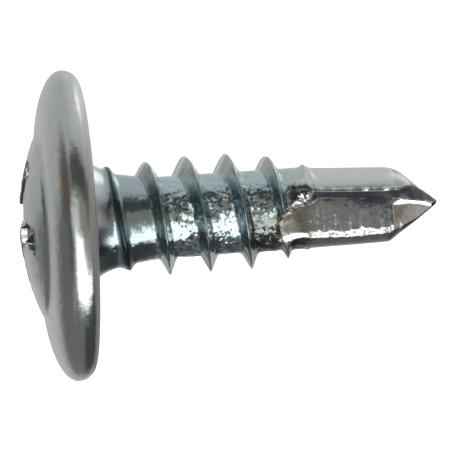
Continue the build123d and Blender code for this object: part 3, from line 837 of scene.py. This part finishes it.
base = N.mix(N.math("MULTIPLY", a_run, 0.75), base, (0.24, 0.22, 0.19, 1))
base = N.mix(N.math("MULTIPLY", a_heel, 0.9), base, (0.70, 0.70, 0.70, 1))
base = N.mix(a_point, base, (0.80, 0.78, 0.75, 1))
# painted highlight: near-white base colour on the bevel strips, the lip and a line before the run-out
base = N.mix(a_painted_highlight, base, (0.88, 0.88, 0.87, 1))
# painted shade: the cutting wall is near-black in base colour, a little lighter towards the tip
base = N.mix(a_wall_painted_shade, base, N.mix(N.step(zc_, 9.6, 11.1), (0.042, 0.044, 0.05, 1), (0.15, 0.155, 0.16, 1)))
# painted shade: brown-black base colour behind the burrs, along the run-out and on the neck
base = N.mix(N.math("MULTIPLY", a_painted_shade, 0.92), base, N.mix(n_fine, (0.035, 0.03, 0.025, 1), (0.17, 0.15, 0.14, 1)))
# painted highlight: the burr beads are near-white in base colour
base = N.mix(a_burr_painted_highlight, base, (0.92, 0.87, 0.86, 1))
# painted shade: near-black base colour along the first ridge
base = N.mix(N.math("MULTIPLY", a_painted_dark_ridge, 0.9), base, (0.05, 0.085, 0.10, 1))
N.link(base, bsdf.inputs["Base Color"])
bsdf.inputs["Metallic"].default_value = 1.0

# roughness
rough = N.step(n_mid, 0.3, 0.7, 0.10, 0.16)
rough = N.math("ADD", rough, N.math("MULTIPLY", a_head, 0.06))
rough = N.math("ADD", rough, N.math("MULTIPLY", a_rec, 0.08))
rough = N.math("ADD", rough, N.math("MULTIPLY", a_dent, 0.03))
rough = N.math("ADD", rough, N.math("MULTIPLY", a_wall_painted_shade, 0.25))
rough = N.math("ADD", rough, N.math("MULTIPLY", a_flank, 0.08))
rough = N.math("ADD", rough, N.math("MULTIPLY", a_mill, N.step(n_fine, 0.3, 0.7, 0.02, 0.10)))
land = N.math("MULTIPLY", N.step(zc_, 7.7, 8.1), N.math("SUBTRACT", 1.0, a_mill))
rough = N.math("ADD", rough, N.math("MULTIPLY", land, 0.14))
rough = N.math("ADD", rough, N.math("MULTIPLY", a_heel, 0.15))
under = N.math("MULTIPLY", a_head, N.step(zc_, -0.20, -0.12))
rough = N.math("ADD", rough, N.math("MULTIPLY", under, 0.30))
rough = N.math("ADD", rough, N.math("MULTIPLY", N.step(zc_, 0.36, 0.22, 0.0, 0.2), N.math("SUBTRACT", 1.0, a_head)))
N.link(rough, bsdf.inputs["Roughness"])

# facets tilt the normal; fine pits and brushing by bump
geo = N.new("ShaderNodeNewGeometry")
cell = N.voronoi(co, 6.0, out="Color")
cell2 = N.voronoi(co, 15.0, out="Color")
tilt = N.vmath("SUBTRACT", cell, (0.5, 0.5, 0.5))
tilt2 = N.vmath("SUBTRACT", cell2, (0.5, 0.5, 0.5))
amt = N.math("ADD", N.math("MULTIPLY", a_dent, 0.235), N.math("MULTIPLY", a_heel, 0.10))
amt = N.math("ADD", amt, N.math("MULTIPLY", a_rec, 0.10))
amt = N.math("ADD", amt, N.math("MULTIPLY", a_burr_painted_highlight, 0.25))
amt = N.math("ADD", amt, N.math("MULTIPLY", a_mill, 0.07))
amt = N.math("MULTIPLY", amt, N.math("SUBTRACT", 1.0, N.math("MULTIPLY", a_painted_highlight, 0.9)))
chip = N.new("ShaderNodeSeparateXYZ")
N.link(N.voronoi(co, 11.0, out="Color"), chip.inputs[0])
amt = N.math("MULTIPLY", amt, N.step(chip.outputs[0], 0.78, 0.86, 1.0, 1.9))
fac = N.vmath("ADD", geo.outputs["Normal"], N.vmath("SCALE", tilt, scale=amt))
fac = N.vmath("ADD", fac, N.vmath("SCALE", tilt2, scale=N.math("MULTIPLY", amt, 0.8)))
soft = N.vmath("SUBTRACT", N.noise(co, 5.0, 3.0, color=True), (0.5, 0.5, 0.5))
fac = N.vmath("ADD", fac, N.vmath("SCALE", soft, scale=N.math("MULTIPLY", a_head, 0.16)))
# large facets in the recess; streaks across the heel; burrs and the painted glint lean to the light
big = N.vmath("SUBTRACT", N.voronoi(co, 2.6, out="Color"), (0.5, 0.5, 0.5))
fac = N.vmath("ADD", fac, N.vmath("SCALE", big, scale=N.math("MULTIPLY", a_rec, 0.9)))
along_ = N.new("ShaderNodeCombineXYZ")
N.link(N.math("MULTIPLY", zc_, 9.0), along_.inputs[0])
N.link(N.math("MULTIPLY", sep.outputs[0], 1.6), along_.inputs[1])
streak = N.math("SUBTRACT", N.noise(along_.outputs[0], 1.0, 3.0, 0.65), 0.5)
down_, tipward = turn((-1.0, 0.0, 0.0)), turn((0.0, 0.0, 1.0))
fac = N.vmath("ADD", fac, N.vmath("SCALE", tuple(down_), scale=N.math("MULTIPLY", N.math("MULTIPLY", a_heel, streak), 1.1)))
fac = N.vmath("ADD", fac, N.vmath("SCALE", tuple(down_), scale=N.math("MULTIPLY", a_burr_painted_highlight, 0.62)))
fac = N.vmath("ADD", fac, N.vmath("SCALE", tuple(down_), scale=N.math("MULTIPLY", far_wall, N.step(zc_, -1.86, -1.96, -0.45, 0.52))))
fac = N.vmath("ADD", fac, N.vmath("SCALE", tuple(down_), scale=N.math("MULTIPLY", blob, 0.68)))
fac = N.vmath("ADD", fac, N.vmath("SCALE", tuple(tipward), scale=N.math("MULTIPLY", a_painted_glint, 0.45)))
fac = N.vmath("NORMALIZE", fac)
bump = N.new("ShaderNodeBump")
bump.inputs["Strength"].default_value = 0.35
bump.inputs["Distance"].default_value = 0.00001
grain = N.math("ADD", n_fine, N.math("MULTIPLY", N.noise(co, 45.0, 2.0), 0.5))
N.link(N.math("MULTIPLY", grain, N.math("SUBTRACT", 1.0, N.math("MULTIPLY", a_flank, 0.75))), bump.inputs["Height"])
N.link(fac, bump.inputs["Normal"])
N.link(bump.outputs[0], bsdf.inputs["Normal"])
mesh.materials.append(mat)

# ---------------------------------------------------------------------------
# camera: the long lens of a catalogue picture, from the screw's head side
# ---------------------------------------------------------------------------
THETA, BETA, SC = math.radians(5.0), math.atan(0.068), 29.0
A0, U0, C0 = np.array([0, 0, 1.0]), np.array([1.0, 0, 0]), np.array([0, 1.0, 0])
toward = -math.sin(THETA) * A0 + math.cos(THETA) * C0
along = math.cos(THETA) * A0 + math.sin(THETA) * C0
right = math.cos(BETA) * along - math.sin(BETA) * U0
up = math.sin(BETA) * along + math.cos(BETA) * U0
X0, Y0 = 84.6, 222.8
dx, dy = 225 - X0, 225 - Y0
ca = (dx * math.cos(BETA) - dy * math.sin(BETA)) / SC
cu = (-dx * math.sin(BETA) - dy * math.cos(BETA)) / SC
target = Vector(to_row(along * ca + U0 * cu))
R3, U3, T3 = (Vector(turn(v)).normalized() for v in (right, up, toward))
cam_data = bpy.data.cameras.new("camera")
cam = bpy.data.objects.new("camera", cam_data)
bpy.context.collection.objects.link(cam)
DIST = 0.40
width = 450 / SC / 1000
cam_data.sensor_width = 36.0
cam_data.lens = 36.0 * DIST / width
cam_data.clip_start, cam_data.clip_end = 0.01, 10
cam.matrix_world = Matrix((
    (R3.x, U3.x, T3.x, target.x + T3.x * DIST),
    (R3.y, U3.y, T3.y, target.y + T3.y * DIST),
    (R3.z, U3.z, T3.z, target.z + T3.z * DIST),
    (0, 0, 0, 1)))
bpy.context.scene.camera = cam

# ---------------------------------------------------------------------------
# floor, lights and the studio round it
# ---------------------------------------------------------------------------
bpy.ops.mesh.primitive_plane_add(size=3.0, location=(0, 0, 0))
floor = bpy.context.object
floor.name = "floor"
fm = bpy.data.materials.new("pale_floor")
fm.use_nodes = True
fb = fm.node_tree.nodes["Principled BSDF"]
fb.inputs["Base Color"].default_value = (0.90, 0.90, 0.90, 1)
fb.inputs["Roughness"].default_value = 0.9
fb.inputs["Specular IOR Level"].default_value = 0.0
fb.inputs["Emission Color"].default_value = (1, 1, 1, 1)
fb.inputs["Emission Strength"].default_value = 0.60
floor.data.materials.append(fm)
floor.visible_glossy = False

ld = bpy.data.lights.new("overhead", "AREA")
ld.shape = "DISK"
ld.size = 0.16
ld.energy = 0.12
lo_ = bpy.data.objects.new("overhead", ld)
lo_.location = (0, 0, 0.16)
lo_.visible_glossy = False
bpy.context.collection.objects.link(lo_)

# the studio: a set of soft panels and dark cards, placed by two angles: psi
# turns up from the lens about the left-right line, lam goes to the right
world = bpy.data.worlds.new("studio")
bpy.context.scene.world = world
world.use_nodes = True
W = Nodes(world.node_tree)
for n in list(world.node_tree.nodes):
    world.node_tree.nodes.remove(n)
tc = W.new("ShaderNodeTexCoord")
dirv = W.vmath("NORMALIZE", tc.outputs["Generated"])
dr = W.vmath("DOT_PRODUCT", dirv, tuple(R3))
du = W.vmath("DOT_PRODUCT", dirv, tuple(U3))
dt = W.vmath("DOT_PRODUCT", dirv, tuple(T3))
psi = W.math("MULTIPLY", W.math("ARCTAN2", du, dt), 57.29578)
lam = W.math("MULTIPLY", W.math("ARCSINE", dr), 57.29578)


def tint(v, r=1.0, b=1.0):
    return (v * r, v, v * b, 1)


def above_(x, a, soft):
    return W.step(x, a - soft, a + soft)


def below_(x, a, soft):
    return W.step(x, a - soft, a + soft, 1.0, 0.0)


def both(*fs):
    out_ = fs[0]
    for f_ in fs[1:]:
        out_ = W.math("MULTIPLY", out_, f_)
    return out_


# the room, falling dark to the far left and right
colour = W.mix(above_(lam, -60, 9), tint(0.10, 1.25, 0.9), tint(0.50, 0.98, 0.99))
colour = W.mix(above_(lam, -24, 8), colour, tint(0.58))
colour = W.mix(above_(lam, 42, 40), colour, tint(0.30))
low_back = both(below_(W.math("SUBTRACT", lam, W.math("ADD", psi, 180.0)), -48, 6), below_(psi, -100, 10))
colour = W.mix(low_back, colour, tint(0.17))
# large panel overhead, stronger to the back
over = both(above_(psi, 78, 22), below_(psi, 166, 14), above_(lam, -52, 10), below_(lam, 56, 8))
colour = W.mix(over, colour, W.mix(above_(lam, -8, 20), tint(0.53), tint(0.68, 0.98, 1.01)))
colour = W.mix(both(above_(psi, 112, 8), below_(psi, 166, 8), above_(lam, 20, 6), below_(lam, 39, 4)),
               colour, tint(1.45, 0.97, 1.0))
# dark card between the panel and the lens
colour = W.mix(both(above_(psi, 20, 5), below_(psi, 61, 6), above_(lam, -58, 16)), colour, tint(0.075))
# paler left of the lens, olive grey round it, dark to the right
front = both(above_(psi, -14, 6), below_(psi, 22, 5))
colour = W.mix(both(front, above_(lam, -70, 6)), colour, tint(0.74, 1.0, 0.97))
colour = W.mix(both(front, above_(lam, -8, 16)), colour, tint(0.30, 1.03, 0.88))
colour = W.mix(both(above_(psi, 6, 8), below_(psi, 60, 10), above_(lam, 46, 12)), colour, tint(0.12, 1.3, 0.8))
colour = W.mix(both(above_(psi, -16, 6), below_(psi, 62, 10), above_(lam, 67, 5)), colour, tint(0.36, 1.04, 0.98))
# low dark floor card, then the long softbox under the lens
colour = W.mix(both(below_(psi, -64, 4), above_(psi, -150, 18), above_(lam, -52, 12)), colour, tint(0.19, 1.04, 0.98))
colour = W.mix(both(below_(psi, -72, 6), above_(psi, -158, 12), above_(lam, 8, 9)), colour, tint(0.07, 0.95, 1.05))
over10 = W.math("MAXIMUM", W.math("SUBTRACT", lam, 10.0), 0.0)
edge = W.math("SUBTRACT", -10.0, W.math("MULTIPLY", W.math("MINIMUM", over10, 17.0), 1.15))
edge = W.math("SUBTRACT", edge, W.math("MULTIPLY", W.math("MAXIMUM", W.math("SUBTRACT", over10, 17.0), 0.0), 0.85))
foot = W.math("MULTIPLY", W.math("MAXIMUM", W.math("SUBTRACT", lam, 5.0), 0.0), -0.30)
box_f = both(W.step(W.math("SUBTRACT", psi, edge), -4, 4, 1.0, 0.0), above_(W.math("SUBTRACT", psi, foot), -62, 4),
             above_(lam, -42, 7), below_(lam, 63, 5))
colour = W.mix(box_f, colour, tint(2.2))
bg_studio = W.new("ShaderNodeBackground")
W.link(colour, bg_studio.inputs[0])
bg_pale = W.new("ShaderNodeBackground")
bg_pale.inputs[0].default_value = (0.97, 0.97, 0.97, 1)
lp = W.new("ShaderNodeLightPath")
mixw = W.new("ShaderNodeMixShader")
W.link(lp.outputs["Is Glossy Ray"], mixw.inputs[0])
W.link(bg_pale.outputs[0], mixw.inputs[1])
W.link(bg_studio.outputs[0], mixw.inputs[2])
out = W.new("ShaderNodeOutputWorld")
W.link(mixw.outputs[0], out.inputs[0])

bpy.context.scene.view_settings.view_transform = "Standard"
